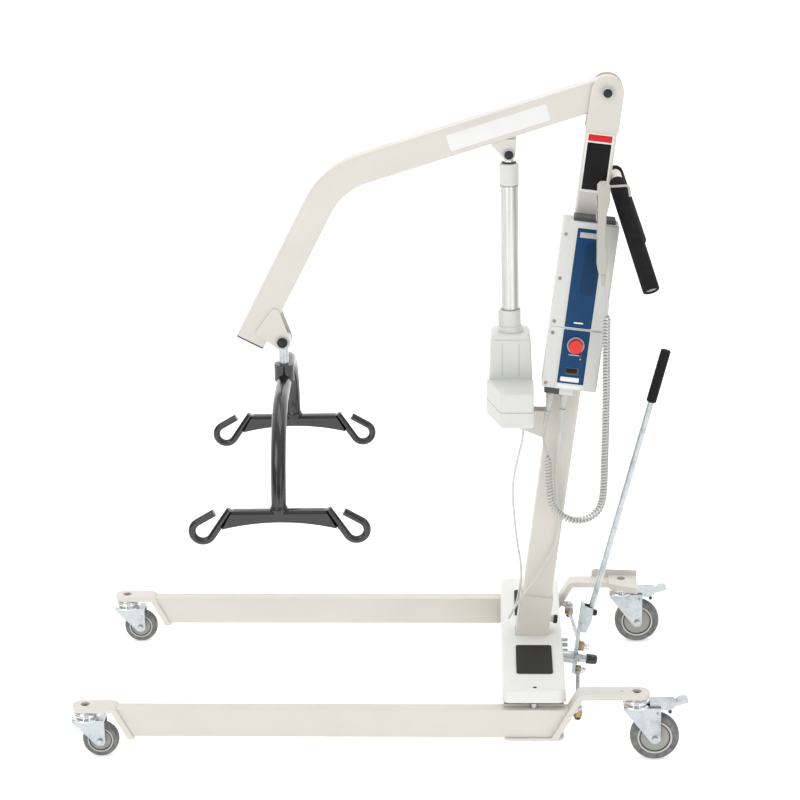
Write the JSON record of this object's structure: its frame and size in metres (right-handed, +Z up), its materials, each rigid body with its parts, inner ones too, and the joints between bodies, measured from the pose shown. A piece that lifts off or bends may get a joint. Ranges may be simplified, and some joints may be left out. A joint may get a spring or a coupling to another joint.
{
  "type": "patient lift hoist",
  "caption": "Wheeled electric patient lift: spreading legs, leaning mast, actuator-raised boom and a hooked sling spreader on a swivel.",
  "frame": {"origin": "on the floor, under the centre of the whole lift", "axes": "+Z up; the legs point to -X, the push handles are at +X; +Y is the right-hand side of the person who pushes"},
  "size_m": [1.257, 0.656, 1.3503],
  "materials": {
    "cream_paint": "satin powder coat, warm off-white",
    "white_plastic": "moulded, fine satin",
    "black_rubber": "ribbed",
    "black_foam": "closed-cell foam, matte",
    "zinc_steel": "bright bluish zinc plate",
    "chrome_rod": "ground and polished",
    "aluminium_tube": "drawn, satin",
    "black_plastic": "moulded",
    "dark_plastic": "moulded dark grey",
    "grey_plastic": "moulded grey",
    "grey_cord": "light grey flexible jacket",
    "grey_tyre": "non-marking grey rubber on a light grey hub",
    "red_plastic": "glossy red",
    "black_paint": "gloss black"
  },
  "bodies": {
    "base": {"base_crossmember": "cream_paint", "base_bolts": "zinc_steel", "base_cover": "white_plastic", "foot_pads": "black_rubber", "mast_socket": "cream_paint", "mast": "cream_paint", "mast_head_cheeks": "cream_paint", "push_handle": "cream_paint", "push_grips": "black_foam", "mast_brackets": "cream_paint", "controller": "white_plastic", "socket_block": "dark_plastic", "handset_plug": "grey_plastic", "actuator_plug": "grey_plastic", "handset": "white_plastic", "handset_cord_ends": "grey_cord", "handset_coil": "grey_cord", "actuator_cable": "grey_cord", "lever_shaft": "zinc_steel"},
    "clamp_knob": {"mast_clamp_knob": "black_plastic"},
    "leg_left": {"leg_left": "cream_paint", "caster_bolts_left": "zinc_steel"},
    "leg_right": {"leg_right": "cream_paint", "caster_bolts_right": "zinc_steel", "leg_bracket_right": "cream_paint"},
    "boom": {"boom": "cream_paint", "boom_end_cap": "black_plastic", "boom_brackets": "cream_paint", "boom_bolts": "zinc_steel"},
    "hanger": {"hanger": "zinc_steel"},
    "spreader": {"spreader_arch": "black_paint", "spreader_crossbar_left": "black_paint", "spreader_crossbar_right": "black_paint"},
    "actuator_rod": {"actuator_rod": "chrome_rod"},
    "actuator_body": {"actuator_tube": "aluminium_tube", "actuator_tube_fittings": "white_plastic", "actuator_housing": "white_plastic", "actuator_motor_pod": "white_plastic"},
    "lever": {"lever_plate": "zinc_steel", "lever_rod": "zinc_steel", "lever_grip": "black_foam"},
    "tie_rod_left": {"tie_rod_left": "zinc_steel"},
    "tie_rod_right": {"tie_rod_right": "zinc_steel"},
    "battery": {"battery": "white_plastic", "battery_handle": "dark_plastic"},
    "stop_button": {"stop_button": "red_plastic"},
    "handset_button_up": {"handset_button_up": "grey_plastic"},
    "handset_button_down": {"handset_button_down": "grey_plastic"},
    "caster_front_left": {"caster_fork_front_left": "zinc_steel"},
    "wheel_front_left": {"wheel_front_left": "grey_tyre"},
    "caster_rear_left": {"caster_fork_rear_left": "zinc_steel"},
    "wheel_rear_left": {"wheel_rear_left": "grey_tyre"},
    "brake_pedal_left": {"brake_pedal_rear_left": "dark_plastic"},
    "caster_front_right": {"caster_fork_front_right": "zinc_steel"},
    "wheel_front_right": {"wheel_front_right": "grey_tyre"},
    "caster_rear_right": {"caster_fork_rear_right": "zinc_steel"},
    "wheel_rear_right": {"wheel_rear_right": "grey_tyre"},
    "brake_pedal_right": {"brake_pedal_rear_right": "dark_plastic"}
  },
  "joints": [
    {"name": "boom_lift", "type": "hinge", "parent": "base", "child": "boom", "pos_m": [0.461, 0, 1.3173], "axis": [0, 1, 0], "range_deg": [0, 65]},
    {"name": "actuator_rod_pin", "type": "hinge", "parent": "boom", "child": "actuator_rod", "pos_m": [0.2654, 0, 1.1914], "axis": [0, 1, 0], "range_deg": [-65.1, 0.1]},
    {"name": "actuator_stroke", "type": "slide", "parent": "actuator_rod", "child": "actuator_body", "axis": [0.0101, 0, -0.9999], "range_m": [0, 0.2502]},
    {"name": "hanger_swing", "type": "hinge", "parent": "boom", "child": "hanger", "pos_m": [-0.201, 0, 0.803], "axis": [0, 1, 0], "range_deg": [-80, 25]},
    {"name": "spreader_swivel", "type": "hinge", "parent": "hanger", "child": "spreader", "pos_m": [-0.201, 0, 0.74], "axis": [0, 0, 1], "continuous": true},
    {"name": "lever_swing", "type": "hinge", "parent": "base", "child": "lever", "pos_m": [0.4083, 0, 0.088], "axis": [0.9928, 0, -0.1201], "range_deg": [0, 46]},
    {"name": "leg_left_spread", "type": "hinge", "parent": "base", "child": "leg_left", "pos_m": [0.314, -0.295, 0.078], "axis": [0, 0, 1], "range_deg": [-0.1, 13.1]},
    {"name": "leg_right_spread", "type": "hinge", "parent": "base", "child": "leg_right", "pos_m": [0.314, 0.295, 0.078], "axis": [0, 0, 1], "range_deg": [-13.1, 0.1]},
    {"name": "tie_rod_left_pin", "type": "hinge", "parent": "lever", "child": "tie_rod_left", "pos_m": [0.41437, 0, 0.05906], "axis": [0.9928, 0, -0.1201], "range_deg": [-44.4, 0.1]},
    {"name": "tie_rod_right_pin", "type": "hinge", "parent": "lever", "child": "tie_rod_right", "pos_m": [0.4211, 0, 0.11466], "axis": [0.9928, 0, -0.1201], "range_deg": [-44.4, 0.1]},
    {"name": "battery_lift_off", "type": "slide", "parent": "base", "child": "battery", "axis": [0.1243, 0, 0.9922], "range_m": [0, 0.04]},
    {"name": "clamp_knob_turn", "type": "hinge", "parent": "base", "child": "clamp_knob", "pos_m": [0.35316, 0, 0.17888], "axis": [0.9922, 0, -0.1243], "continuous": true},
    {"name": "stop_button_press", "type": "slide", "parent": "base", "child": "stop_button", "axis": [0, 1, 0], "range_m": [0, 0.0025], "stiffness_N_per_m": 600},
    {"name": "button_up_press", "type": "slide", "parent": "base", "child": "handset_button_up", "axis": [1, 0, 0], "range_m": [0, 0.0015], "stiffness_N_per_m": 400},
    {"name": "button_down_press", "type": "slide", "parent": "base", "child": "handset_button_down", "axis": [1, 0, 0], "range_m": [0, 0.0015], "stiffness_N_per_m": 400},
    {"name": "caster_front_left_swivel", "type": "hinge", "parent": "leg_left", "child": "caster_front_left", "pos_m": [-0.603, -0.295, 0.101], "axis": [0, 0, 1], "continuous": true},
    {"name": "wheel_front_left_spin", "type": "hinge", "parent": "caster_front_left", "child": "wheel_front_left", "pos_m": [-0.574, -0.295, 0.0375], "axis": [0, 1, 0], "continuous": true},
    {"name": "caster_rear_left_swivel", "type": "hinge", "parent": "leg_left", "child": "caster_rear_left", "pos_m": [0.522, -0.3, 0.135], "axis": [0, 0, 1], "continuous": true},
    {"name": "wheel_rear_left_spin", "type": "hinge", "parent": "caster_rear_left", "child": "wheel_rear_left", "pos_m": [0.559, -0.3, 0.05], "axis": [0, 1, 0], "continuous": true},
    {"name": "brake_pedal_left_press", "type": "hinge", "parent": "caster_rear_left", "child": "brake_pedal_left", "pos_m": [0.592, -0.3, 0.1207], "axis": [0, 1, 0], "range_deg": [0, 14], "stiffness_Nm_per_rad": 2},
    {"name": "caster_front_right_swivel", "type": "hinge", "parent": "leg_right", "child": "caster_front_right", "pos_m": [-0.603, 0.295, 0.101], "axis": [0, 0, 1], "continuous": true},
    {"name": "wheel_front_right_spin", "type": "hinge", "parent": "caster_front_right", "child": "wheel_front_right", "pos_m": [-0.574, 0.295, 0.0375], "axis": [0, 1, 0], "continuous": true},
    {"name": "caster_rear_right_swivel", "type": "hinge", "parent": "leg_right", "child": "caster_rear_right", "pos_m": [0.522, 0.3, 0.135], "axis": [0, 0, 1], "continuous": true},
    {"name": "wheel_rear_right_spin", "type": "hinge", "parent": "caster_rear_right", "child": "wheel_rear_right", "pos_m": [0.559, 0.3, 0.05], "axis": [0, 1, 0], "continuous": true},
    {"name": "brake_pedal_right_press", "type": "hinge", "parent": "caster_rear_right", "child": "brake_pedal_right", "pos_m": [0.592, 0.3, 0.1207], "axis": [0, 1, 0], "range_deg": [0, 14], "stiffness_Nm_per_rad": 2}
  ],
  "couplings": [
    {"joint": "actuator_rod_pin", "follows": "boom_lift", "ratio": -1},
    {"joint": "actuator_stroke", "follows": "boom_lift", "m_per_rad": 0.22035},
    {"joint": "leg_left_spread", "follows": "lever_swing", "ratio": 0.2826},
    {"joint": "leg_right_spread", "follows": "lever_swing", "ratio": -0.2826},
    {"joint": "tie_rod_left_pin", "follows": "lever_swing", "ratio": -0.9609},
    {"joint": "tie_rod_right_pin", "follows": "lever_swing", "ratio": -0.9609}
  ]
}
